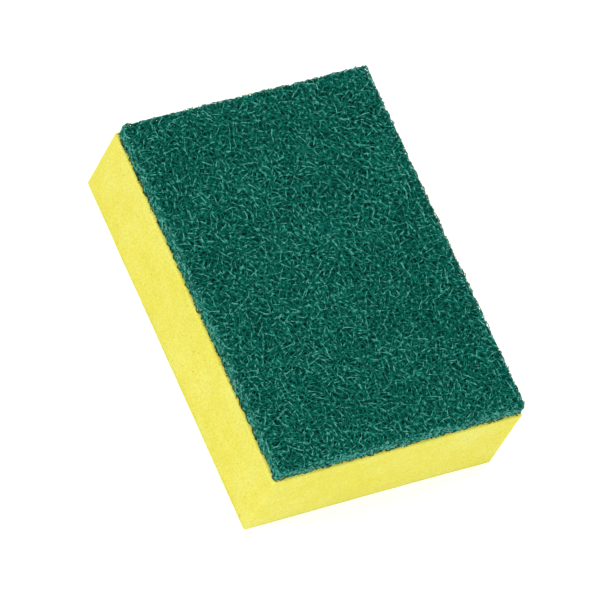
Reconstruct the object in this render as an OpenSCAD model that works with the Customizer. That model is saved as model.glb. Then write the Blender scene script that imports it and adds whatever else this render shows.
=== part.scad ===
// Scouring sponge for washing up.
// A block of open-cell foam carries a pad of stiff, resin-bonded fibres,
// held on over its whole upper face by a film of glue. The laminate is cut
// to size in one go, so all three layers share one rounded outline; the soft
// foam gives way under the knife and springs out a little past the pad.
// Lengths are in millimetres: X along the sponge, Y across it, Z up, and the
// origin is the middle of the foam's underside.

/* [Foam block] */
// Length of the foam block
length = 100; // [60:1:160]
// Width of the foam block
width = 70; // [45:1:110]
// Height of the foam block
foam_h = 25.3; // [12:0.1:50]
// Radius of the four upright corners, the pad's too
corner_r = 1; // [1:0.1:6]
// Radius to which the lower rim softens
foam_rim_r = 0.5; // [0.2:0.1:0.9]

/* [Open cells] */
// Distance between neighbouring large cells on a cut face
cell_pitch = 5.6; // [4:0.1:12]
// Diameter of the smallest large cell
cell_d_min = 0.5; // [0.4:0.1:1]
// Diameter of the largest cell
cell_d_max = 1.5; // [1.2:0.1:3]
// How far a cell's centre lies outside the cut face, as a share of its radius
cell_shallow = 0.25; // [0:0.05:0.6]

/* [Glue film] */
// Thickness of the glue film
glue_t = 0.2; // [0.1:0.05:0.5]
// How far the film stays back from the pad's sides
glue_inset = 0.4; // [0.1:0.1:2]

/* [Scour pad] */
// Thickness of the pad, up to the face of its web
pad_h = 4.3; // [2:0.1:10]
// How far the stiff pad stays back from the soft foam's sides
pad_inset = 0.5; // [0:0.1:1]
// Radius to which scouring and cutting round the pad's upper rim
pad_rim_r = 0.8; // [0.3:0.1:0.9]

/* [Fibres] */
// Thickness of one bundle of bonded fibres
fibre_d = 0.8; // [0.4:0.05:1.2]
// Distance between the middles of neighbouring bundles
fibre_pitch = 6; // [5:0.1:15]
// Length of the shortest bundle, as a share of that distance
fibre_share_min = 0.7; // [0.5:0.05:0.8]
// Length of the longest bundle, as a share of that distance
fibre_share_max = 0.9; // [0.8:0.02:0.92]
// Tightest radius to which a bundle bends
bend_r_min = 3; // [2:0.5:6]
// Radius of the slackest bend
bend_r_max = 10; // [7:0.5:20]
// Diameter of the largest hole left between bundles
gap_d_max = 2.2; // [1:0.1:2.4]
// Diameter of the smallest hole
gap_d_min = 0.9; // [0.4:0.1:1]
// Distance between neighbouring holes on the pad's cut sides
side_gap_pitch = 2.9; // [2:0.1:8]

/* [Hidden] */
foam_colour = "#f0e75e";
glue_colour = "#d9cf8a";
pad_colour = "#0f5c4c";
// Seeds that keep each random pattern the same in every build
cell_seed = 11;
fibre_seed = 29;
// Largest share of its square that a hollow takes up or wanders in
square_share = 0.9;
// How far cells and holes stay clear of a side's upper and lower edges
cell_margin = 0.5;
side_gap_margin = 0.3;
// Diameter of the largest side hole, as a share of the face's largest
side_gap_share = 0.8;
pad_z = foam_h + glue_t;
pad_l = length - 2 * pad_inset;
pad_w = width - 2 * pad_inset;

function mix(a, b, share) = a + (b - a) * share;

// Half of a slab's section, from the corner's axis out to its side: a plain
// rectangle whose upper outer corner, or lower one where top is false, is
// trimmed to the rim's radius.
module side_section(reach, h, rim_r, top) {
    rim_x = reach - rim_r;
    rim_y = top ? h - rim_r : rim_r;
    difference() {
        square([reach, h]);
        difference() {
            translate([rim_x, top ? rim_y : 0]) square(rim_r);
            translate([rim_x, rim_y]) circle(r = rim_r, $fn = 48);
        }
    }
}

// A slab with upright round corners: its side section is revolved at each
// corner and run along each side, round a plain core.
module rounded_slab(l, w, h, corner, rim_r, top) {
    core_l = l - 2 * corner;
    core_w = w - 2 * corner;
    translate([-core_l / 2, -core_w / 2, 0]) cube([core_l, core_w, h]);
    for (side = [0 : 3]) {
        run = side % 2 == 0 ? core_w : core_l;
        out = side % 2 == 0 ? core_l : core_w;
        rotate(90 * side) translate([out / 2, 0, 0]) {
            translate([0, run / 2, 0]) rotate([90, 0, 0])
                linear_extrude(run) side_section(corner, h, rim_r, top);
            translate([0, run / 2, 0]) rotate_extrude(angle = 90, $fn = 96)
                side_section(corner, h, rim_r, top);
        }
    }
}

// Round hollows over a face of l by w: one to each square of a jittered grid,
// kept whole and clear of the next one and of the face's edges.
module hollows(l, w, edge, pitch, d_min, d_max, seed) {
    nx = max(1, floor((l - 2 * edge) / pitch));
    ny = max(1, floor((w - 2 * edge) / pitch));
    room_x = (l - 2 * edge) / nx;
    room_y = (w - 2 * edge) / ny;
    chance = rands(0, 1, 3 * nx * ny, seed);
    for (i = [0 : nx - 1], j = [0 : ny - 1]) {
        at = 3 * (i * ny + j);
        // Squaring the chance makes small hollows common and large ones rare
        d = min(square_share * min(room_x, room_y), mix(d_min, d_max, pow(chance[at], 2)));
        play_x = square_share * (room_x - d) / 2;
        play_y = square_share * (room_y - d) / 2;
        translate([(i + 0.5) * room_x - l / 2 + edge + mix(-play_x, play_x, chance[at + 1]),
                   (j + 0.5) * room_y - w / 2 + edge + mix(-play_y, play_y, chance[at + 2]),
                   cell_shallow * d / 2])
            sphere(d = d, $fn = 24);
    }
}

// Carries its children, drawn flat round the origin, to each upright side of
// a block in turn. The special value $run is the length of that side.
module on_sides(l, w, mid_z) {
    for (side = [0 : 3]) {
        $run = side % 2 == 0 ? w : l;
        $side = side;
        out = side % 2 == 0 ? l : w;
        rotate(90 * side) translate([out / 2, 0, mid_z]) rotate([90, 0, 90]) children();
    }
}

module foam_block() {
    side_h = foam_h - foam_rim_r;
    color(foam_colour) difference() {
        rounded_slab(length, width, foam_h, corner_r, foam_rim_r, false);
        mirror([0, 0, 1])
            hollows(length, width, corner_r, cell_pitch, cell_d_min, cell_d_max, cell_seed);
        on_sides(length, width, foam_rim_r + side_h / 2)
            hollows($run - 2 * corner_r, side_h, cell_margin, cell_pitch, cell_d_min, cell_d_max,
                    cell_seed + 1 + $side);
    }
}

module glue_film() {
    film_r = max(0.3, corner_r - glue_inset);
    color(glue_colour) translate([0, 0, foam_h]) linear_extrude(glue_t)
        outline(pad_l - 2 * glue_inset, pad_w - 2 * glue_inset, film_r);
}

// A rectangle with round corners, seen from above
module outline(l, w, r) {
    square([l - 2 * r, w], center = true);
    square([l, w - 2 * r], center = true);
    for (x = [-1, 1], y = [-1, 1])
        translate([x * (l / 2 - r), y * (w / 2 - r)]) circle(r = r, $fn = 48);
}

// One bundle of bonded fibres: a round bar bent to an arc, its middle at the
// origin and half of its thickness sunk in the web.
module bundle(l, bend_r) {
    turn = l / bend_r * 180 / PI;
    translate([-bend_r, 0, 0]) rotate(-turn / 2)
        rotate_extrude(angle = turn, $fn = 96)
            translate([bend_r, 0]) circle(d = fibre_d, $fn = 24);
}

// Bundles over the web's face, one to each square of the grid, each turned
// and bent at random and short enough to turn freely inside its square.
module bundles(l, w) {
    nx = floor(l / fibre_pitch);
    ny = floor(w / fibre_pitch);
    chance = rands(0, 1, 3 * nx * ny, fibre_seed);
    for (i = [0 : nx - 1], j = [0 : ny - 1]) {
        at = 3 * (i * ny + j);
        along = fibre_pitch * mix(fibre_share_min, fibre_share_max, chance[at]) - fibre_d / 2;
        translate([(i + 0.5) * l / nx - l / 2, (j + 0.5) * w / ny - w / 2, 0])
            rotate(360 * chance[at + 1])
                bundle(along, mix(bend_r_min, bend_r_max, chance[at + 2]));
    }
}

// Holes in the web where four squares of the grid meet, clear of the bundles
module gaps(l, w) {
    nx = floor(l / fibre_pitch);
    ny = floor(w / fibre_pitch);
    // What a bundle that points at the corner leaves free there
    room = fibre_pitch * (sqrt(2) - fibre_share_max) - fibre_d;
    chance = rands(0, 1, 3 * nx * ny, fibre_seed + 1);
    for (i = [1 : nx - 1], j = [1 : ny - 1]) {
        at = 3 * (i * ny + j);
        d = min(room, mix(gap_d_min, gap_d_max, pow(chance[at], 2)));
        play = (room - d) / 2;
        turn = 360 * chance[at + 1];
        translate([i * l / nx - l / 2 + play * chance[at + 2] * cos(turn),
                   j * w / ny - w / 2 + play * chance[at + 2] * sin(turn),
                   cell_shallow * d / 2])
            sphere(d = d, $fn = 24);
    }
}

module scour_pad() {
    face_l = pad_l - 2 * pad_rim_r;
    face_w = pad_w - 2 * pad_rim_r;
    side_h = pad_h - pad_rim_r;
    color(pad_colour) translate([0, 0, pad_z]) {
        difference() {
            rounded_slab(pad_l, pad_w, pad_h, corner_r, pad_rim_r, true);
            translate([0, 0, pad_h]) gaps(face_l, face_w);
            on_sides(pad_l, pad_w, side_h / 2)
                hollows($run - 2 * corner_r, side_h, side_gap_margin, side_gap_pitch,
                        gap_d_min, side_gap_share * gap_d_max, fibre_seed + 2 + $side);
        }
        translate([0, 0, pad_h]) bundles(face_l, face_w);
    }
}

foam_block();
glue_film();
scour_pad();
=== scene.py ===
# %% [markdown]
# A scouring sponge. A block of soft yellow foam carries a stiff green pad of
# bonded fibres, and a film of glue holds the two together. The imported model
# gives the true sizes and the fixed frame; everything below only gives the
# three pieces their looks. Lengths are in metres, so sizes in millimetres are
# multiplied by MM.

# %% Load the frame
import math

import bmesh
import bpy
from mathutils import Matrix, Vector


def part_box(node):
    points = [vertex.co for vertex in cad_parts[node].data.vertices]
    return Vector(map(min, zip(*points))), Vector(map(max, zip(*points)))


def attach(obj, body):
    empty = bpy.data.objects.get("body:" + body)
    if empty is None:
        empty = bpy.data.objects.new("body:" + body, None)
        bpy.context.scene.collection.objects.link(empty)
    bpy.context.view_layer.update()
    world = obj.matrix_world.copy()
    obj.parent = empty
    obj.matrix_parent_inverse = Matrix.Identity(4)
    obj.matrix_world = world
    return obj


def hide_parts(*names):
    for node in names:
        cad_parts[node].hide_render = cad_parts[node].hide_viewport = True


MM = 0.001
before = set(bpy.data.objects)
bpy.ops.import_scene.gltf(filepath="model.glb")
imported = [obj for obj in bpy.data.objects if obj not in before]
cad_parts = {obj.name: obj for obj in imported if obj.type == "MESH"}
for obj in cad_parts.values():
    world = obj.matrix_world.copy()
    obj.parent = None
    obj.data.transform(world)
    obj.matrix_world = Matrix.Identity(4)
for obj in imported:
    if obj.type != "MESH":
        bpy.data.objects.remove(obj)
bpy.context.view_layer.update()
foam_low, foam_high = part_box("foam_block")
pad_low, pad_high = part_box("scour_pad")
glue_low, glue_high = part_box("glue_film")

# %% [markdown]
# The camera looks down on the pad from beyond one corner, so that the pad,
# one long side and one end all show. It stands as far off as a product
# photographer's long lens would put it, and it is rolled, because the sponge
# was tilted in its picture. Here the sponge lies flat, and the roll alone
# gives it the same slant in the frame.

# %% Camera
AIM = Vector((1.0, -2.0, 14.5)) * MM
AZIMUTH = math.radians(38.1)
ELEVATION = math.radians(56.7)
ROLL = math.radians(32.1)
DISTANCE = 1745 * MM
LENS_MM = 425
SENSOR_MM = 36
NEAREST_SEEN = 50 * MM

camera = bpy.data.objects.new("camera", bpy.data.cameras.new("camera"))
bpy.context.scene.collection.objects.link(camera)
bpy.context.scene.camera = camera
camera.data.lens = LENS_MM
camera.data.sensor_width = SENSOR_MM
camera.data.clip_start = NEAREST_SEEN
out = Vector((math.sin(AZIMUTH) * math.cos(ELEVATION),
              -math.cos(AZIMUTH) * math.cos(ELEVATION),
              math.sin(ELEVATION)))
level_right = (-out).cross(Vector((0, 0, 1))).normalized()
level_up = level_right.cross(-out)
right = math.cos(ROLL) * level_right + math.sin(ROLL) * level_up
up = math.cos(ROLL) * level_up - math.sin(ROLL) * level_right
turned = Matrix((right, up, out)).transposed().to_4x4()
camera.matrix_world = Matrix.Translation(AIM + out * DISTANCE) @ turned
print("camera stands at, mm:", [round(c / MM) for c in AIM + out * DISTANCE])

# %% [markdown]
# Colours are written as sRGB hex values, as a paint program shows them. One
# function turns them to the linear light that Blender computes with.

# %% Colour
def linear(hex_colour):
    """An sRGB hex colour as the linear RGBA that Blender's sockets take."""
    parts = [int(hex_colour[i:i + 2], 16) / 255 for i in (0, 2, 4)]
    return [c / 12.92 if c <= 0.04045 else ((c + 0.055) / 1.055) ** 2.4 for c in parts] + [1]


print("foam yellow in linear light:", [round(c, 3) for c in linear("F7EE6A")])

# %% [markdown]
# Shader trees and geometry trees are built by one small helper. It adds a
# node, sets its properties, fills its sockets, and gives a Color Ramp its
# stops. A socket given another node's output is linked to it, and one given
# a value keeps that value. The properties come first, because some of them,
# such as a data type, decide which sockets the node has.

# %% One helper that adds a node
def add(tree, kind, inputs=None, stops=(), **settings):
    """A new node with its settings, links and, on a Color Ramp, its stops."""
    node = tree.nodes.new(kind)
    for name, value in settings.items():
        setattr(node, name, value)
    for key, value in (inputs or {}).items():
        if isinstance(value, bpy.types.NodeSocket):
            tree.links.new(value, node.inputs[key])
        else:
            node.inputs[key].default_value = value
    if stops:
        elements = node.color_ramp.elements
        while len(elements) < len(stops):
            elements.new(1)
        for element, (position, hex_colour) in zip(elements, stops):
            element.position = position
            element.color = linear(hex_colour)
    return node


def new_material(name):
    """A material with an empty tree, and that tree."""
    material = bpy.data.materials.new(name)
    material.use_nodes = True
    material.node_tree.nodes.clear()
    return material, material.node_tree


print("helpers:", add.__name__, new_material.__name__)

# %% [markdown]
# Washing-up foam is polyether polyurethane slabstock, cut with a band knife.
# The knife opens thousands of cells about a third of a millimetre wide, and
# here and there a larger one, up to three quarters of a millimetre or so.
# The openings of the larger ones are spots of a Voronoi pattern, kept only
# where the spot's random number is high enough. The same rule runs in the
# foam's shader, which paints shade into them, and in the tree that shapes its
# skin, which presses them in, so the two agree.

# %% Opened cells
LARGE_CELL = 1.5 * MM
# Share of the large cells that the knife leaves closed
CLOSED_SHARE = 0.4
# Radius of the smallest and of the largest opening, as shares of LARGE_CELL
OPENING_MIN, OPENING_MAX = 0.06, 0.26
# Share of an opening's radius that is its bottom
BOTTOM_SHARE = 0.4


def opened_cells(tree, place, separate):
    """How deep each point lies in an opened large cell, from 0 to 1."""
    cells = add(tree, "ShaderNodeTexVoronoi", {"Vector": place, "Scale": 1 / LARGE_CELL})
    chance = add(tree, separate, {0: cells.outputs["Color"]}).outputs[0]
    radius = add(tree, "ShaderNodeMapRange", {
        "Value": chance, "From Min": CLOSED_SHARE, "From Max": 1.0,
        "To Min": OPENING_MIN, "To Max": OPENING_MAX}).outputs[0]
    bottom = add(tree, "ShaderNodeMath", {0: radius, 1: BOTTOM_SHARE}, operation="MULTIPLY")
    depth = add(tree, "ShaderNodeMapRange", {
        "Value": cells.outputs["Distance"], "From Min": radius, "From Max": bottom.outputs[0],
        "To Min": 0.0, "To Max": 1.0}, interpolation_type="SMOOTHSTEP").outputs[0]
    is_open = add(tree, "ShaderNodeMath", {0: chance, 1: CLOSED_SHARE}, operation="GREATER_THAN")
    return add(tree, "ShaderNodeMath", {0: depth, 1: is_open.outputs[0]},
               operation="MULTIPLY").outputs[0]


print("opened cells, mm wide:", [round(2 * s * LARGE_CELL / MM, 2)
                                 for s in (OPENING_MIN, OPENING_MAX)])

# %% [markdown]
# A cut face of foam is dead matt with a fine grain, and light that enters
# the pale yellow cells comes out again a few millimetres away. That is why
# its shaded sides glow and its edges look soft. Subsurface scattering gives
# the glow, a Voronoi pattern the fine cells, with painted shade in their
# hollows, and a slow noise the cloudy tone. The fine cells are drawn half as
# wide again as the real ones, so that they still show.

# %% Polyurethane foam
FOAM_CELL = 0.5 * MM
FOAM_GRAIN = 0.9 * MM
CLOUD = 9 * MM
FOAM_RELIEF = 0.15 * MM
# How far light spreads in the foam, for red, green and blue in turn
GLOW = 3 * MM
GLOW_OF_COLOURS = (1.0, 0.8, 0.25)
# How much of the painted shade colour shows in the hollow of a fine cell, and of an opened one
FINE_SHADE, OPENED_SHADE = 0.4, 0.8


def foam_colour(tree, place, cells, grain, opened):
    """Cloudy yellow, with painted shade in the middle of every cell."""
    cloud = add(tree, "ShaderNodeTexNoise", {
        "Vector": place, "Scale": 1 / CLOUD, "Detail": 3, "Roughness": 0.6})
    tone = add(tree, "ShaderNodeMix", {
        "Factor": 0.3, "A": cloud.outputs["Fac"], "B": grain.outputs["Fac"]})
    yellow = add(tree, "ShaderNodeValToRGB", {"Fac": tone.outputs[0]},
                 stops=[(0.34, "F4E95A"), (0.5, "F7EE6A"), (0.66, "F9F37C")])
    fine = add(tree, "ShaderNodeMapRange", {
        "Value": cells.outputs["Distance"], "From Min": 0.1, "From Max": 0.6,
        "To Min": FINE_SHADE, "To Max": 0.0})
    large = add(tree, "ShaderNodeMath", {0: opened, 1: OPENED_SHADE}, operation="MULTIPLY")
    shade = add(tree, "ShaderNodeMath", {0: fine.outputs[0], 1: large.outputs[0]},
                operation="MAXIMUM")
    # CDBB40 is the painted shade colour of the cell hollows
    return add(tree, "ShaderNodeMix", {
        "Factor": shade.outputs[0], "A": yellow.outputs["Color"], "B": linear("CDBB40")},
        data_type="RGBA").outputs["Result"]


def polyurethane_foam():
    material, tree = new_material("knife_cut_polyurethane_foam")
    place = add(tree, "ShaderNodeTexCoord").outputs["Object"]
    cells = add(tree, "ShaderNodeTexVoronoi", {
        "Vector": place, "Scale": 1 / FOAM_CELL, "Randomness": 1})
    grain = add(tree, "ShaderNodeTexNoise", {
        "Vector": place, "Scale": 1 / FOAM_GRAIN, "Detail": 4, "Roughness": 0.7})
    opened = opened_cells(tree, place, "ShaderNodeSeparateColor")
    rough = add(tree, "ShaderNodeMath", {0: cells.outputs["Distance"], 1: grain.outputs["Fac"]},
                operation="ADD")
    height = add(tree, "ShaderNodeMath", {0: rough.outputs[0], 1: opened}, operation="SUBTRACT")
    bump = add(tree, "ShaderNodeBump", {
        "Height": height.outputs[0], "Strength": 0.5, "Distance": FOAM_RELIEF})
    shader = add(tree, "ShaderNodeBsdfPrincipled", {
        "Base Color": foam_colour(tree, place, cells, grain, opened),
        "Normal": bump.outputs[0], "Roughness": 0.92, "IOR": 1.45, "Specular IOR Level": 0.15,
        "Subsurface Weight": 0.35, "Subsurface Radius": GLOW_OF_COLOURS,
        "Subsurface Scale": GLOW})
    add(tree, "ShaderNodeOutputMaterial", {"Surface": shader.outputs[0]})
    return material


foam_finish = polyurethane_foam()
print("material:", foam_finish.name, "nodes:", len(foam_finish.node_tree.nodes))

# %% [markdown]
# Each soft piece starts from a plain closed block in mesh code. A bevel
# rounds its four upright edges, and a second one, where it is asked for, the
# rim round its lower or upper face.

# %% Rounded block
CORNER_R = 0.7 * MM
RIM_R = 0.4 * MM
CORNER_STEPS = 6
RIM_STEPS = 3
# Two heights that differ by less than this are the same
SAME = 1e-6


def rounded_block(name, low, high, corner_r, low_rim_r=0, high_rim_r=0):
    """A closed block with round upright corners and, where given, round rims."""
    mesh = bpy.data.meshes.new(name)
    bm = bmesh.new()
    bmesh.ops.create_cube(bm, size=1)
    for vert in bm.verts:
        vert.co = Vector([a if c < 0 else b for c, a, b in zip(vert.co, low, high)])
    upright = [e for e in bm.edges if abs(e.verts[0].co.z - e.verts[1].co.z) > SAME]
    bmesh.ops.bevel(bm, geom=upright, offset=corner_r, segments=CORNER_STEPS,
                    affect="EDGES", profile=0.5)
    for rim_z, rim_r in ((low[2], low_rim_r), (high[2], high_rim_r)):
        if rim_r:
            rim = [e for e in bm.edges if all(abs(v.co.z - rim_z) < SAME for v in e.verts)]
            bmesh.ops.bevel(bm, geom=rim, offset=rim_r, segments=RIM_STEPS,
                            affect="EDGES", profile=0.5)
    bm.to_mesh(mesh)
    bm.free()
    block = bpy.data.objects.new(name, mesh)
    bpy.context.scene.collection.objects.link(block)
    return block


def triangles(piece):
    return sum(len(p.vertices) - 2 for p in piece.data.polygons)


foam = rounded_block("foam_body", foam_low, foam_high, CORNER_R,
                     low_rim_r=RIM_R, high_rim_r=RIM_R)
print("foam block before its skin, triangles:", triangles(foam))

# %% [markdown]
# A geometry tree gets a named input for each of its sizes, and becomes a
# plain mesh in one step: the evaluated object is copied out, takes the
# modified mesh, and the modifiers go. The inputs are set by socket
# identifier, which stays the same when a socket is renamed.

# %% Run a geometry tree and keep its mesh
WHOLE_NUMBERS = ("Seed", "Points")


def tree_with_inputs(name, sizes):
    """A geometry node tree with a named input for each size, and its inputs."""
    tree = bpy.data.node_groups.new(name, "GeometryNodeTree")
    tree.interface.new_socket("Geometry", in_out="INPUT", socket_type="NodeSocketGeometry")
    for size in sizes:
        kind = "NodeSocketInt" if size in WHOLE_NUMBERS else "NodeSocketFloat"
        tree.interface.new_socket(size, in_out="INPUT", socket_type=kind)
    tree.interface.new_socket("Geometry", in_out="OUTPUT", socket_type="NodeSocketGeometry")
    return tree, add(tree, "NodeGroupInput").outputs


def end_with(tree, geometry, material):
    """Closes a tree: real geometry, smooth and with its material."""
    real = add(tree, "GeometryNodeRealizeInstances", {"Geometry": geometry})
    smooth = add(tree, "GeometryNodeSetShadeSmooth", {"Geometry": real.outputs[0]})
    painted = add(tree, "GeometryNodeSetMaterial", {
        "Geometry": smooth.outputs[0], "Material": material})
    add(tree, "NodeGroupOutput", {"Geometry": painted.outputs[0]})
    print("tree:", tree.name, "nodes:", len(tree.nodes))
    return tree


def bake(piece, tree, sizes):
    """Runs a tree on a piece with these sizes, and leaves a plain mesh."""
    modifier = piece.modifiers.new(tree.name, "NODES")
    modifier.node_group = tree
    sockets = {s.name: s.identifier for s in tree.interface.items_tree if s.in_out == "INPUT"}
    for size, value in sizes.items():
        modifier[sockets[size]] = value
    evaluated = piece.evaluated_get(bpy.context.evaluated_depsgraph_get())
    mesh = bpy.data.meshes.new_from_object(evaluated)
    piece.modifiers.clear()
    piece.data = mesh
    mesh.name = piece.name


# %% [markdown]
# The tree below is the knife-cut skin. Each displacement is a length, so its
# inputs read like a drawing: how high the wave is, because a band knife
# wanders in soft foam, how long it is, and how deep the opened cells are.

# %% Tree: knife-cut skin
# Noise lies round 0.5, so a wave measured from here lies mostly inside the
# cut size
WAVE_ZERO = 0.6
# Nothing sinks into the table that the sponge lies on
TABLE_CLEARANCE = 0.02 * MM
# A limit that no point comes near, for the directions that have none
NO_LIMIT = -1.0


def knife_cut_skin():
    tree, given = tree_with_inputs("knife_cut_skin", ["Wave height", "Wave length", "Cell depth"])
    place = add(tree, "GeometryNodeInputPosition").outputs[0]
    normal = add(tree, "GeometryNodeInputNormal").outputs["Normal"]
    scale = add(tree, "ShaderNodeMath", {0: 1.0, 1: given["Wave length"]}, operation="DIVIDE")
    noise = add(tree, "ShaderNodeTexNoise", {
        "Vector": place, "Scale": scale.outputs[0], "Detail": 2.0})
    level = add(tree, "ShaderNodeMath", {0: noise.outputs[0], 1: WAVE_ZERO}, operation="SUBTRACT")
    wave = add(tree, "ShaderNodeMath", {0: level.outputs[0], 1: given["Wave height"]},
               operation="MULTIPLY")
    opened = opened_cells(tree, place, "FunctionNodeSeparateColor")
    depth = add(tree, "ShaderNodeMath", {0: opened, 1: given["Cell depth"]}, operation="MULTIPLY")
    outward = add(tree, "ShaderNodeMath", {0: wave.outputs[0], 1: depth.outputs[0]},
                  operation="SUBTRACT")
    step = add(tree, "ShaderNodeVectorMath", {0: normal, "Scale": outward.outputs[0]},
               operation="SCALE")
    target = add(tree, "ShaderNodeVectorMath", {0: place, 1: step.outputs["Vector"]},
                 operation="ADD")
    lowest = (NO_LIMIT, NO_LIMIT, foam_low[2] + TABLE_CLEARANCE)
    target = add(tree, "ShaderNodeVectorMath", {0: target.outputs["Vector"], 1: lowest},
                 operation="MAXIMUM")
    moved = add(tree, "GeometryNodeSetPosition", {
        "Geometry": given["Geometry"], "Position": target.outputs["Vector"]})
    return end_with(tree, moved.outputs[0], foam_finish)


foam_skin = knife_cut_skin()

# %% [markdown]
# The foam block needs an even skin of small faces for that tree to move. A
# voxel remesh would chamfer the crisp cut edges, so a sharp one makes it. It
# divides its box in halves a given number of times, and its scale is worked
# out from the size that a face should have. The piece stands for the plain
# solid.

# %% Foam block
SKIN_FACE = 0.52 * MM
SKIN_HALVINGS = 8

skin = foam.modifiers.new("even_skin", "REMESH")
skin.mode = "SHARP"
skin.octree_depth = SKIN_HALVINGS
skin.scale = (foam_high[0] - foam_low[0]) / (SKIN_FACE * 2 ** SKIN_HALVINGS)
skin.sharpness = 1.0
skin.use_remove_disconnected = False
bake(foam, foam_skin, {
    "Wave height": 0.5 * MM, "Wave length": 22 * MM, "Cell depth": 0.35 * MM})
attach(foam, "root")
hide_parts("foam_block")
print("foam triangles:", triangles(foam))

# %% [markdown]
# The glue is a film of hot-melt adhesive, rolled on as fine dots and pressed
# flat between foam and pad. It is faintly amber and glossy, and hides inside
# the laminate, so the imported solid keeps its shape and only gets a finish.

# %% Laminating glue
GLUE_DOT = 1.8 * MM
GLUE_RELIEF = 0.05 * MM


def laminating_glue():
    material, tree = new_material("hot_melt_laminating_glue")
    place = add(tree, "ShaderNodeTexCoord").outputs["Object"]
    dots = add(tree, "ShaderNodeTexVoronoi", {"Vector": place, "Scale": 1 / GLUE_DOT})
    amber = add(tree, "ShaderNodeValToRGB", {"Fac": dots.outputs["Distance"]},
                stops=[(0.2, "D8C777"), (0.7, "BFAE5C")])
    bump = add(tree, "ShaderNodeBump", {
        "Height": dots.outputs["Distance"], "Strength": 0.4, "Distance": GLUE_RELIEF})
    shader = add(tree, "ShaderNodeBsdfPrincipled", {
        "Base Color": amber.outputs["Color"], "Normal": bump.outputs[0],
        "Roughness": 0.3, "IOR": 1.48})
    add(tree, "ShaderNodeOutputMaterial", {"Surface": shader.outputs[0]})
    return material


glue_finish = laminating_glue()
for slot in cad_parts["glue_film"].material_slots:
    slot.material = glue_finish
print("material:", glue_finish.name)

# %% [markdown]
# Scouring pad is a lofty non-woven: crimped nylon fibres laid at random,
# sprayed with green resin and grit, and cured into a stiff open web. Each
# fibre takes up more or less resin, so tones differ at random from fibre to
# fibre, and the layers add painted shade deep down and painted light on top,
# so some read nearly black and some look lit. The web is therefore real
# fibres: every one carries its own tone as an attribute, and one material
# turns tone into colour. Two noises vary it, one for beads of resin, partly
# painted glints, and one for the uneven spray, and painted shade darkens the
# fibres' feet where the pad meets the foam.

# %% Resin-bonded nylon fibre
# Size of each pattern, and how far it swings the tone
# The finer pattern is partly beads of resin and partly painted glints and painted shade on the
# fibres
BEAD_AND_GLINT, BEAD_AND_GLINT_SWING = 0.88 * MM, 1.65
SPRAY_PATCH, SPRAY_SWING = 14 * MM, 0.27
GRIT = 0.7 * MM
FIBRE_RELIEF = 0.05 * MM
# How far up from the glue the painted shade at the seam reaches, and how much darker it makes the
# fibres' feet
SEAM_SHADE_REACH = 0.9 * MM
SEAM_SHADE_DARKER = 0.8


def fibre_tone(tree, place):
    """A fibre's tone, with beads of resin and painted glints, uneven spray, and painted shade at
    its foot by the foam.
    """
    tone = add(tree, "ShaderNodeAttribute", attribute_name="tone").outputs["Fac"]
    for size, swing, detail in ((BEAD_AND_GLINT, BEAD_AND_GLINT_SWING, 1), (SPRAY_PATCH, SPRAY_SWING, 2)):
        noise = add(tree, "ShaderNodeTexNoise", {
            "Vector": place, "Scale": 1 / size, "Detail": detail, "Roughness": 0.5})
        level = add(tree, "ShaderNodeMath", {0: noise.outputs["Fac"], 1: 0.5},
                    operation="SUBTRACT")
        change = add(tree, "ShaderNodeMath", {0: level.outputs[0], 1: swing},
                     operation="MULTIPLY")
        tone = add(tree, "ShaderNodeMath", {0: tone, 1: change.outputs[0]},
                   operation="ADD").outputs[0]
    height = add(tree, "ShaderNodeSeparateXYZ", {0: place}).outputs["Z"]
    # Painted shade: the fibres darken over their lowest part, where the pad meets the foam
    foot = add(tree, "ShaderNodeMapRange", {
        "Value": height, "From Min": glue_high[2], "From Max": glue_high[2] + SEAM_SHADE_REACH,
        "To Min": SEAM_SHADE_DARKER, "To Max": 0.0})
    return add(tree, "ShaderNodeMath", {0: tone, 1: foot.outputs[0]},
               operation="SUBTRACT").outputs[0]


def bonded_fibre():
    material, tree = new_material("resin_bonded_nylon_fibre")
    place = add(tree, "ShaderNodeTexCoord").outputs["Object"]
    green = add(tree, "ShaderNodeValToRGB", {"Fac": fibre_tone(tree, place)}, stops=[
        (0.0, "00372C"), (0.45, "036454"), (0.75, "108774"), (1.0, "66C2AF")])
    grit = add(tree, "ShaderNodeTexNoise", {
        "Vector": place, "Scale": 1 / GRIT, "Detail": 3, "Roughness": 0.7})
    bump = add(tree, "ShaderNodeBump", {
        "Height": grit.outputs["Fac"], "Strength": 0.4, "Distance": FIBRE_RELIEF})
    shader = add(tree, "ShaderNodeBsdfPrincipled", {
        "Base Color": green.outputs["Color"], "Normal": bump.outputs[0],
        "Roughness": 0.55, "IOR": 1.53, "Specular IOR Level": 0.08})
    add(tree, "ShaderNodeOutputMaterial", {"Surface": shader.outputs[0]})
    return material


fibre_finish = bonded_fibre()
print("material:", fibre_finish.name)

# %% [markdown]
# Under the loose fibres the web is so dense that no light comes through. A
# slab a little smaller than the pad stands for that depth. It has the same
# resin, but its near-black greens are painted shade for that depth. It reads
# as a dark, rough mass of strands that merge into each other, so its pattern
# is twisted noise and it has hardly any gloss.

# %% Web depth in painted shade
STRAND = 0.8 * MM
STRAND_RELIEF = 0.3 * MM


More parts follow.
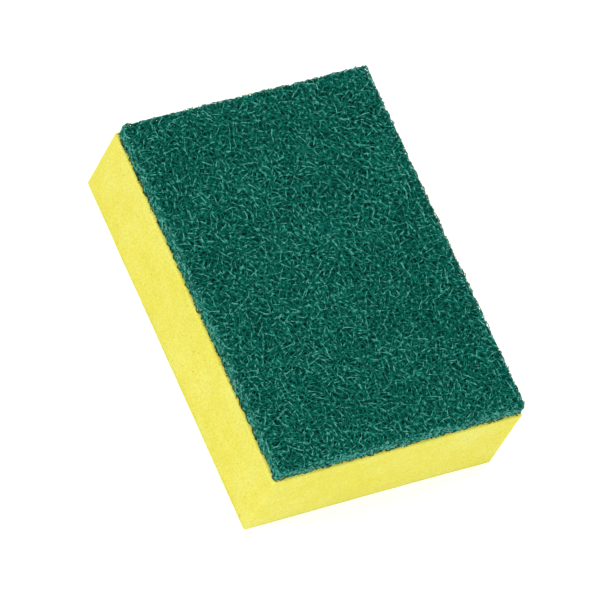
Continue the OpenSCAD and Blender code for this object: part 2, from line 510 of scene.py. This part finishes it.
def painted_shade_web():
    material, tree = new_material("painted_shade_web")
    place = add(tree, "ShaderNodeTexCoord").outputs["Object"]
    strands = add(tree, "ShaderNodeTexNoise", {
        "Vector": place, "Scale": 1 / STRAND, "Detail": 5, "Roughness": 0.75,
        "Distortion": 1.5})
    # Greens darker than any fibre's: painted shade for the depth of the web
    green = add(tree, "ShaderNodeValToRGB", {"Fac": strands.outputs["Fac"]},
                stops=[(0.35, "00281F"), (0.55, "004437"), (0.7, "005C4C")])
    bump = add(tree, "ShaderNodeBump", {
        "Height": strands.outputs["Fac"], "Strength": 0.8, "Distance": STRAND_RELIEF})
    shader = add(tree, "ShaderNodeBsdfPrincipled", {
        "Base Color": green.outputs["Color"], "Normal": bump.outputs[0],
        "Roughness": 0.8, "IOR": 1.53, "Specular IOR Level": 0.2})
    add(tree, "ShaderNodeOutputMaterial", {"Surface": shader.outputs[0]})
    return material


web_finish = painted_shade_web()
print("material:", web_finish.name)

# %% [markdown]
# A geometry tree roughens the slab's skin, so that the gaps between fibres
# end in hollows, not on a flat wall. Its edges are never seen, so a plain
# voxel remesh is enough to give it that skin.

# %% Tree: rough web
def rough_web():
    tree, given = tree_with_inputs("rough_web", ["Roughness height", "Roughness length"])
    place = add(tree, "GeometryNodeInputPosition").outputs[0]
    normal = add(tree, "GeometryNodeInputNormal").outputs["Normal"]
    scale = add(tree, "ShaderNodeMath", {0: 1.0, 1: given["Roughness length"]},
                operation="DIVIDE")
    noise = add(tree, "ShaderNodeTexNoise", {
        "Vector": place, "Scale": scale.outputs[0], "Detail": 2.0})
    level = add(tree, "ShaderNodeMath", {0: noise.outputs[0], 1: 0.5}, operation="SUBTRACT")
    amount = add(tree, "ShaderNodeMath", {0: level.outputs[0], 1: given["Roughness height"]},
                 operation="MULTIPLY")
    step = add(tree, "ShaderNodeVectorMath", {0: normal, "Scale": amount.outputs[0]},
               operation="SCALE")
    moved = add(tree, "GeometryNodeSetPosition", {
        "Geometry": given["Geometry"], "Offset": step.outputs["Vector"]})
    return end_with(tree, moved.outputs[0], web_finish)


web_skin = rough_web()

# %% Web slab
# How far the slab stays inside the pad's sides, under its top, and over the
# glue
WEB_INSET = 0.55 * MM
WEB_TOP = 1.2 * MM
WEB_LIFT = 0.1 * MM
WEB_VOXEL = 0.8 * MM

web_low = (pad_low[0] + WEB_INSET, pad_low[1] + WEB_INSET, pad_low[2] + WEB_LIFT)
web_high = (pad_high[0] - WEB_INSET, pad_high[1] - WEB_INSET, pad_high[2] - WEB_TOP)
web = rounded_block("pad_web", web_low, web_high, CORNER_R, high_rim_r=RIM_R)
voxels = web.modifiers.new("even_skin", "REMESH")
voxels.mode = "VOXEL"
voxels.voxel_size = WEB_VOXEL
bake(web, web_skin, {"Roughness height": 0.8 * MM, "Roughness length": 1.6 * MM})
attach(web, "root")
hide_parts("scour_pad")
print("web triangles:", triangles(web))

# %% [markdown]
# One geometry tree makes every layer of fibres, in four steps. The first
# scatters points over a bed, no two nearer than the spacing, and sets a
# straight fibre on each in a random direction. What a fibre keeps to itself
# is stored on its point: its tone, the direction away from the bed, how far
# from the cut its end may lie, and a shift that makes its crimp its own. All
# random numbers come from the tree's one seed.

# %% Tree part: scattered fibres
FIBRE_SIZES = ["Fibre length", "Fibre width", "Spacing", "Crimp", "Crimp length", "Lift",
               "Tone low", "Tone high", "Ragged out", "Unevenness", "Points", "Seed"]
# Points tried on each square metre before those nearer than the spacing go
POINT_TRIES = 2e7
# How far inside the cut outline a fibre may end
RAGGED_IN = 0.35 * MM
# Largest shift of a fibre's crimp, in crimp lengths
SHIFT = 9
# The shortest and the longest fibre, as shares of the layer's fibre length
SHORTEST, LONGEST = 0.6, 1.25
# What each random number adds to the tree's seed, so that no two are alike
TONE_SEED, END_SEED, SPIN_SEED, SIZE_SEED, THICKNESS_SEED = 1.0, 2.0, 3.0, 4.0, 5.0


def scattered_fibres(tree, given):
    """Straight fibres in random directions over the bed."""
    seed = given["Seed"]
    tone_seed, end_seed, spin_seed, size_seed = (
        add(tree, "ShaderNodeMath", {0: seed, 1: extra}, operation="ADD").outputs[0]
        for extra in (TONE_SEED, END_SEED, SPIN_SEED, SIZE_SEED))
    spread = add(tree, "GeometryNodeDistributePointsOnFaces", {
        "Mesh": given["Geometry"], "Distance Min": given["Spacing"],
        "Density Max": POINT_TRIES, "Seed": seed}, distribute_method="POISSON")
    tone = add(tree, "FunctionNodeRandomValue", {
        2: given["Tone low"], 3: given["Tone high"], "Seed": tone_seed})
    ragged = add(tree, "FunctionNodeRandomValue", {
        2: -RAGGED_IN, 3: given["Ragged out"], "Seed": end_seed})
    shift = add(tree, "FunctionNodeRandomValue", {
        0: (-SHIFT, -SHIFT, -SHIFT), 1: (SHIFT, SHIFT, SHIFT), "Seed": seed},
        data_type="FLOAT_VECTOR")
    points = spread.outputs["Points"]
    for name, kind, value in (("tone", "FLOAT", tone.outputs[1]),
                              ("out", "FLOAT_VECTOR", spread.outputs["Normal"]),
                              ("ragged", "FLOAT", ragged.outputs[1]),
                              ("shift", "FLOAT_VECTOR", shift.outputs[0])):
        points = add(tree, "GeometryNodeStoreNamedAttribute", {
            "Geometry": points, "Name": name, "Value": value},
            data_type=kind, domain="POINT").outputs[0]

    half = add(tree, "ShaderNodeMath", {0: given["Fibre length"], 1: 0.5}, operation="MULTIPLY")
    back = add(tree, "ShaderNodeMath", {0: half.outputs[0], 1: -1.0}, operation="MULTIPLY")
    start = add(tree, "ShaderNodeCombineXYZ", {"X": back.outputs[0]})
    end = add(tree, "ShaderNodeCombineXYZ", {"X": half.outputs[0]})
    line = add(tree, "GeometryNodeCurvePrimitiveLine", {
        "Start": start.outputs[0], "End": end.outputs[0]})
    fibre = add(tree, "GeometryNodeResampleCurve", {
        "Curve": line.outputs[0], "Count": given["Points"]})

    angle = add(tree, "FunctionNodeRandomValue", {2: 0.0, 3: math.tau, "Seed": spin_seed})
    spin = add(tree, "FunctionNodeAxisAngleToRotation", {
        "Axis": (0, 0, 1), "Angle": angle.outputs[1]})
    turned = add(tree, "FunctionNodeRotateRotation", {
        "Rotation": spread.outputs["Rotation"], "Rotate By": spin.outputs[0]},
        rotation_space="LOCAL")
    size = add(tree, "FunctionNodeRandomValue", {2: SHORTEST, 3: LONGEST, "Seed": size_seed})
    placed = add(tree, "GeometryNodeInstanceOnPoints", {
        "Points": points, "Instance": fibre.outputs[0],
        "Rotation": turned.outputs[0], "Scale": size.outputs[1]})
    return add(tree, "GeometryNodeRealizeInstances", {"Geometry": placed.outputs[0]}).outputs[0]


print("inputs of the fibre tree:", ", ".join(FIBRE_SIZES))

# %% [markdown]
# The second step bends the fibres. A noise that each fibre reads at a place
# of its own crimps it, mostly along the bed and a little away from it. An
# arch lifts its middle over its neighbours, so that the fibres lie across
# each other. A last noise, which all fibres read at their true place, lets a
# torn side go in and out.

# %% Tree part: crimp, lift and tear
# Share of the crimp that points away from the bed
CRIMP_OUT = 0.35
# How far below the bed the ends of the arch lie, as a share of the lift
ARCH_FOOT = 0.35
# Distance over which a torn side goes in and out again
TEAR_LENGTH = 1.2 * MM


def crimp_offset(tree, given, place, out):
    """The bend of a crimped fibre, as an offset of each of its points."""
    scale = add(tree, "ShaderNodeMath", {0: 1.0, 1: given["Crimp length"]}, operation="DIVIDE")
    scaled = add(tree, "ShaderNodeVectorMath", {0: place, "Scale": scale.outputs[0]},
                 operation="SCALE")
    shift = add(tree, "GeometryNodeInputNamedAttribute", {"Name": "shift"},
                data_type="FLOAT_VECTOR")
    sample = add(tree, "ShaderNodeVectorMath", {
        0: scaled.outputs["Vector"], 1: shift.outputs["Attribute"]}, operation="ADD")
    noise = add(tree, "ShaderNodeTexNoise", {
        "Vector": sample.outputs["Vector"], "Scale": 1.0, "Detail": 1.0})
    level = add(tree, "ShaderNodeVectorMath", {0: noise.outputs["Color"], 1: (0.5, 0.5, 0.5)},
                operation="SUBTRACT")
    bend = add(tree, "ShaderNodeVectorMath", {
        0: level.outputs["Vector"], "Scale": given["Crimp"]}, operation="SCALE")
    share = add(tree, "ShaderNodeVectorMath", {0: bend.outputs["Vector"], 1: out},
                operation="DOT_PRODUCT")
    away = add(tree, "ShaderNodeVectorMath", {0: out, "Scale": share.outputs["Value"]},
               operation="SCALE")
    flat = add(tree, "ShaderNodeVectorMath", {
        0: bend.outputs["Vector"], 1: away.outputs["Vector"]}, operation="SUBTRACT")
    less_away = add(tree, "ShaderNodeVectorMath", {0: away.outputs["Vector"], "Scale": CRIMP_OUT},
                    operation="SCALE")
    return add(tree, "ShaderNodeVectorMath", {
        0: flat.outputs["Vector"], 1: less_away.outputs["Vector"]},
        operation="ADD").outputs["Vector"]


def arch_rise(tree, given):
    """How far each point of a fibre rises over the bed."""
    along = add(tree, "GeometryNodeSplineParameter").outputs["Factor"]
    angle = add(tree, "ShaderNodeMath", {0: along, 1: math.pi}, operation="MULTIPLY")
    sine = add(tree, "ShaderNodeMath", {0: angle.outputs[0]}, operation="SINE")
    level = add(tree, "ShaderNodeMath", {0: sine.outputs[0], 1: ARCH_FOOT}, operation="SUBTRACT")
    return add(tree, "ShaderNodeMath", {0: level.outputs[0], 1: given["Lift"]},
               operation="MULTIPLY").outputs[0]


def tear_rise(tree, given, place):
    """How far a torn side stands out at each point."""
    noise = add(tree, "ShaderNodeTexNoise", {
        "Vector": place, "Scale": 1 / TEAR_LENGTH, "Detail": 1.0})
    level = add(tree, "ShaderNodeMath", {0: noise.outputs[0], 1: 0.5}, operation="SUBTRACT")
    return add(tree, "ShaderNodeMath", {0: level.outputs[0], 1: given["Unevenness"]},
               operation="MULTIPLY").outputs[0]


def bent_fibres(tree, given, fibres):
    """The fibres after crimp, arch and tear have moved their points."""
    place = add(tree, "GeometryNodeInputPosition").outputs[0]
    out = add(tree, "GeometryNodeInputNamedAttribute", {"Name": "out"},
              data_type="FLOAT_VECTOR").outputs["Attribute"]
    offset = crimp_offset(tree, given, place, out)
    for rise in (arch_rise(tree, given), tear_rise(tree, given, place)):
        step = add(tree, "ShaderNodeVectorMath", {0: out, "Scale": rise}, operation="SCALE")
        offset = add(tree, "ShaderNodeVectorMath", {0: offset, 1: step.outputs["Vector"]},
                     operation="ADD").outputs["Vector"]
    return add(tree, "GeometryNodeSetPosition", {"Geometry": fibres, "Offset": offset}).outputs[0]


print("a torn side goes in and out every", round(TEAR_LENGTH / MM, 1), "mm")

# %% [markdown]
# The third step deletes what reaches past the cut outline, as the knife did,
# which leaves ragged ends. The outline is a rounded rectangle. How far a
# point lies outside one is a short sum that needs no shape to test against:
# fold the point into one quarter, subtract the straight part, and measure
# what is left from the corner's centre. Below, the fibres stop at the foam,
# and above, a stray one may stand up a little.

# %% Tree part: the cut outline
# How far a stray fibre may stand above the pad's upper face
STRAY = 0.15 * MM


def outside_cut_outline(tree):
    """Whether a point lies beside, under or over what the knife left."""
    position = add(tree, "GeometryNodeInputPosition").outputs[0]
    place = add(tree, "ShaderNodeSeparateXYZ", {0: position}).outputs
    past = []
    for i in (0, 1):
        folded = add(tree, "ShaderNodeMath", {0: place[i]}, operation="ABSOLUTE")
        over_straight = add(tree, "ShaderNodeMath", {
            0: folded.outputs[0], 1: pad_high[i] - CORNER_R}, operation="SUBTRACT")
        past.append(add(tree, "ShaderNodeMath", {0: over_straight.outputs[0], 1: 0.0},
                        operation="MAXIMUM").outputs[0])
    corner = add(tree, "ShaderNodeCombineXYZ", {"X": past[0], "Y": past[1]})
    reach = add(tree, "ShaderNodeVectorMath", {0: corner.outputs[0]}, operation="LENGTH")
    distance = add(tree, "ShaderNodeMath", {0: reach.outputs["Value"], 1: CORNER_R},
                   operation="SUBTRACT")
    ragged = add(tree, "GeometryNodeInputNamedAttribute", {"Name": "ragged"}, data_type="FLOAT")
    beside = add(tree, "FunctionNodeCompare", {
        0: distance.outputs[0], 1: ragged.outputs["Attribute"]}, operation="GREATER_THAN")
    under = add(tree, "FunctionNodeCompare", {0: place[2], 1: glue_low[2]},
                operation="LESS_THAN")
    over = add(tree, "FunctionNodeCompare", {0: place[2], 1: pad_high[2] + STRAY},
               operation="GREATER_THAN")
    cut = beside.outputs[0]
    for test in (under, over):
        cut = add(tree, "FunctionNodeBooleanMath", {0: cut, 1: test.outputs[0]},
                  operation="OR").outputs[0]
    return cut


def trimmed_fibres(tree, fibres):
    """The fibres without what the knife took, and without lone points."""
    left = add(tree, "GeometryNodeDeleteGeometry", {
        "Geometry": fibres, "Selection": outside_cut_outline(tree)}, domain="POINT")
    count = add(tree, "GeometryNodeSplineLength").outputs["Point Count"]
    lone = add(tree, "FunctionNodeCompare", {2: count, 3: 2}, data_type="INT",
               operation="LESS_THAN")
    return add(tree, "GeometryNodeDeleteGeometry", {
        "Geometry": left.outputs[0], "Selection": lone.outputs[0]}, domain="CURVE").outputs[0]


print("cut outline, mm:", [round(2 * side / MM, 1) for side in pad_high[:2]])

# %% [markdown]
# The last step turns each fibre into a closed tube with three sides, thicker
# here and thinner there. A real fibre is about a tenth of a millimetre
# thick. These are drawn two to four times as thick, so that single ones
# show, and at that size nobody can count their sides.

# %% Tree: bonded fibres
TUBE_SIDES = 3
# The thinnest and the thickest part of a fibre, as shares of its width
THINNEST, THICKEST = 0.75, 1.3


def tubes(tree, given, fibres):
    """The fibres as closed tubes that keep nothing but their tone."""
    radius = add(tree, "ShaderNodeMath", {0: given["Fibre width"], 1: 0.5}, operation="MULTIPLY")
    section = add(tree, "GeometryNodeCurvePrimitiveCircle", {
        "Resolution": TUBE_SIDES, "Radius": radius.outputs[0]})
    thickness_seed = add(tree, "ShaderNodeMath", {0: given["Seed"], 1: THICKNESS_SEED},
                         operation="ADD")
    thickness = add(tree, "FunctionNodeRandomValue", {
        2: THINNEST, 3: THICKEST, "Seed": thickness_seed.outputs[0]})
    tube = add(tree, "GeometryNodeCurveToMesh", {
        "Curve": fibres, "Profile Curve": section.outputs[0],
        "Scale": thickness.outputs[1], "Fill Caps": True}).outputs[0]
    for name in ("out", "shift", "ragged"):
        tube = add(tree, "GeometryNodeRemoveAttribute", {"Geometry": tube, "Name": name}).outputs[0]
    return tube


def bonded_fibres():
    tree, given = tree_with_inputs("bonded_fibres", FIBRE_SIZES)
    fibres = scattered_fibres(tree, given)
    fibres = bent_fibres(tree, given, fibres)
    fibres = trimmed_fibres(tree, fibres)
    return end_with(tree, tubes(tree, given, fibres), fibre_finish)


fibre_tree = bonded_fibres()

# %% [markdown]
# A layer grows on a bed: for the pad's face, a flat polygon some way below
# its top, and for its cut sides, a band round it. Both are rounded blocks
# with the other faces deleted.

# %% Beds that the fibres lie on
# How upright a face's normal is on the upper face, and at most on a side
UPPER_FACE = 0.9
SIDE_FACE = 0.5


def only_faces(block, wanted):
    bm = bmesh.new()
    bm.from_mesh(block.data)
    bmesh.ops.delete(bm, geom=[f for f in bm.faces if not wanted(f)], context="FACES")
    bm.to_mesh(block.data)
    bm.free()
    return block


def face_bed(name, depth):
    """The pad's upper face as one polygon, depth below the pad's top."""
    block = rounded_block(name, (pad_low[0], pad_low[1], 0),
                          (pad_high[0], pad_high[1], pad_high[2] - depth), CORNER_R)
    return only_faces(block, lambda face: face.normal.z > UPPER_FACE)


def side_bed(name, inset, top):
    """The pad's cut sides as a band, down to the foam."""
    block = rounded_block(name, (pad_low[0] + inset, pad_low[1] + inset, glue_low[2]),
                          (pad_high[0] - inset, pad_high[1] - inset, pad_high[2] - top),
                          CORNER_R)
    return only_faces(block, lambda face: abs(face.normal.z) < SIDE_FACE)


print("the pad's upper face lies at, mm:", round(pad_high[2] / MM, 1))

# %% [markdown]
# Five layers of fibres cover the slab: a dark tangle deep down, two denser
# and paler ones above it, a few loose fibres on top, paler still, and one
# layer on the cut sides, which the knife tore a little. The darker tones deep
# down are painted shade, and the paler ones on top painted light, where
# fibres would catch the light.

# %% One layer of fibres
def fibre_layer(bed, length, width, spacing, crimp, crimp_length, lift, tone, ragged_out,
                points, seed, unevenness=0.0):
    """Grows one layer of fibres on a bed, and leaves it as a plain mesh."""
    bake(bed, fibre_tree, {
        "Fibre length": length, "Fibre width": width, "Spacing": spacing, "Crimp": crimp,
        "Crimp length": crimp_length, "Lift": lift, "Tone low": tone[0], "Tone high": tone[1],
        "Ragged out": ragged_out, "Unevenness": unevenness, "Points": points, "Seed": seed})
    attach(bed, "root")
    print(bed.name, "triangles:", triangles(bed))


# %% Fibre layers
SEED = 7

# The tone ranges step from dark deep down to pale on top, as painted shade and painted light;
# within a layer they differ at random
fibre_layer(face_bed("fibres_deep", 1.1 * MM), length=4 * MM, width=0.42 * MM,
            spacing=0.9 * MM, crimp=1.6 * MM, crimp_length=1.8 * MM, lift=0.4 * MM,
            tone=(0.0, 0.15), ragged_out=0.1 * MM, points=4, seed=SEED)
fibre_layer(face_bed("fibres_middle", 0.75 * MM), length=2.5 * MM, width=0.3 * MM,
            spacing=0.66 * MM, crimp=1.4 * MM, crimp_length=1.3 * MM, lift=0.4 * MM,
            tone=(0.3, 0.45), ragged_out=0.15 * MM, points=4, seed=SEED + 1)
fibre_layer(face_bed("fibres_upper", 0.5 * MM), length=3.6 * MM, width=0.27 * MM,
            spacing=0.85 * MM, crimp=1.2 * MM, crimp_length=1.6 * MM, lift=0.3 * MM,
            tone=(0.45, 0.67), ragged_out=0.2 * MM, points=6, seed=SEED + 2)
fibre_layer(face_bed("fibres_loose", 0.35 * MM), length=3.2 * MM, width=0.22 * MM,
            spacing=1.4 * MM, crimp=1.0 * MM, crimp_length=1.4 * MM, lift=0.25 * MM,
            tone=(0.65, 0.9), ragged_out=0.2 * MM, points=6, seed=SEED + 3)
fibre_layer(side_bed("fibres_side", inset=0.4 * MM, top=0.6 * MM), length=2.6 * MM,
            width=0.26 * MM, spacing=0.43 * MM, crimp=1.4 * MM, crimp_length=1.4 * MM,
            lift=0.5 * MM, tone=(0.57, 1.07), ragged_out=0.7 * MM, points=5, seed=SEED + 4,
            unevenness=1.7 * MM)

# %% [markdown]
# The sponge lies on a wide pale floor, a sweep of matt white paper with
# hardly any highlight or pattern. For the camera the floor is lifted
# towards white with Light Path, so the background reads as a clean sheet
# while the light on the sponge, and its shadow, stay as they are.

# %% Floor
FLOOR_HALF = 3.0
PAPER_PATCH = 25 * MM
# What the camera sees on top of the light that the floor sends back
FLOOR_LIFT = 0.43


def matt_white_sweep():
    material, tree = new_material("matt_white_sweep")
    place = add(tree, "ShaderNodeTexCoord").outputs["Object"]
    paper = add(tree, "ShaderNodeTexNoise", {
        "Vector": place, "Scale": 1 / PAPER_PATCH, "Detail": 2})
    white = add(tree, "ShaderNodeValToRGB", {"Fac": paper.outputs["Fac"]},
                stops=[(0.3, "ECECEA"), (0.7, "F0F0EE")])
    seen = add(tree, "ShaderNodeLightPath").outputs["Is Camera Ray"]
    lift = add(tree, "ShaderNodeMath", {0: seen, 1: FLOOR_LIFT}, operation="MULTIPLY")
    shader = add(tree, "ShaderNodeBsdfPrincipled", {
        "Base Color": white.outputs["Color"], "Roughness": 0.9,
        "Emission Color": linear("FFFFFF"), "Emission Strength": lift.outputs[0]})
    add(tree, "ShaderNodeOutputMaterial", {"Surface": shader.outputs[0]})
    return material


floor_mesh = bpy.data.meshes.new("floor")
floor_corners = [(x * FLOOR_HALF, y * FLOOR_HALF, 0)
                 for x, y in ((-1, -1), (1, -1), (1, 1), (-1, 1))]
floor_mesh.from_pydata(floor_corners, [], [(0, 1, 2, 3)])
floor_mesh.materials.append(matt_white_sweep())
floor = bpy.data.objects.new("floor", floor_mesh)
bpy.context.scene.collection.objects.link(floor)
print("floor, m:", 2 * FLOOR_HALF)

# %% [markdown]
# Soft studio light: a white world fills every side, one large lamp in front
# lights the long side, and a second one lights the end. Together they light
# a level surface to about the brightness at which a colour renders as it is
# written.

# %% World
WORLD_FILL = 0.7

scene = bpy.context.scene
scene.view_settings.view_transform = "Standard"


def white_world():
    """A white world that lights softly and looks pure white."""
    scene.world = bpy.data.worlds.new("studio")
    scene.world.use_nodes = True
    tree = scene.world.node_tree
    tree.nodes.clear()
    path = add(tree, "ShaderNodeLightPath").outputs
    seen = path["Is Camera Ray"]
    for other in (path["Is Glossy Ray"], path["Is Transmission Ray"]):
        seen = add(tree, "ShaderNodeMath", {0: seen, 1: other}, operation="MAXIMUM").outputs[0]
    strength = add(tree, "ShaderNodeMapRange", {
        "Value": seen, "To Min": WORLD_FILL, "To Max": 1.0})
    back = add(tree, "ShaderNodeBackground", {
        "Color": linear("FFFFFF"), "Strength": strength.outputs[0]})
    add(tree, "ShaderNodeOutputWorld", {"Surface": back.outputs[0]})


white_world()
print("world fill:", WORLD_FILL)

# %% Lamps
def soft_lamp(name, place, size, watts, hex_colour):
    """A round lamp that looks at the sponge."""
    lamp = bpy.data.objects.new(name, bpy.data.lights.new(name, "AREA"))
    scene.collection.objects.link(lamp)
    lamp.data.shape = "DISK"
    lamp.data.size = size
    lamp.data.energy = watts
    lamp.data.color = linear(hex_colour)[:3]
    lamp.location = place
    lamp.rotation_euler = (AIM - place).to_track_quat("-Z", "Y").to_euler()


soft_lamp("key", Vector((-0.25, -0.9, 1.1)), size=0.5, watts=5.4, hex_colour="FFFFFF")
soft_lamp("fill", Vector((1.1, -0.2, 0.9)), size=0.7, watts=5.1, hex_colour="F0F7FF")
